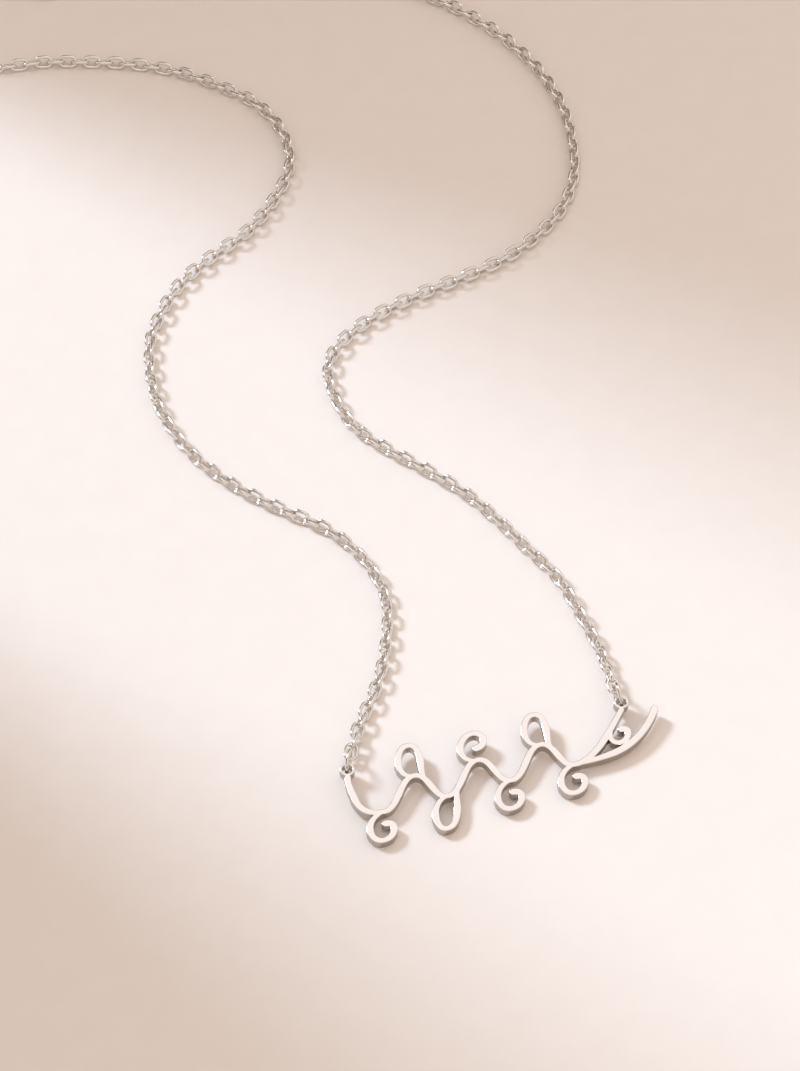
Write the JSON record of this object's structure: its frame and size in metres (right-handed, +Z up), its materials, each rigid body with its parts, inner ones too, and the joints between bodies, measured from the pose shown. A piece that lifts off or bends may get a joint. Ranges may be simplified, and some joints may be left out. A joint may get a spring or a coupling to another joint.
{
  "type": "nameplate necklace",
  "caption": "Fine cable chain necklace lying flat, with a cut-out flourish plate held between jump rings and closed by a spring ring clasp.",
  "frame": {"origin": "on the surface that the necklace lies on, under the middle of its bounding box", "axes": "+Z up from the surface, +Y from the plate towards the clasp, +X to the wearer's left as seen from above, along the plate from its first eyelet to its tail"},
  "size_m": [0.0956, 0.1518, 0.0034],
  "materials": {
    "plate_silver": "polished with a fine satin face",
    "ring_silver": "polished drawn wire",
    "chain_silver": "polished drawn wire",
    "clasp_silver": "polished"
  },
  "bodies": {
    "root": {"nameplate": "plate_silver", "jump_ring_left": "ring_silver", "jump_ring_right": "ring_silver", "chain_left": "chain_silver", "chain_right": "chain_silver", "clasp": "clasp_silver"}
  },
  "joints": []
}
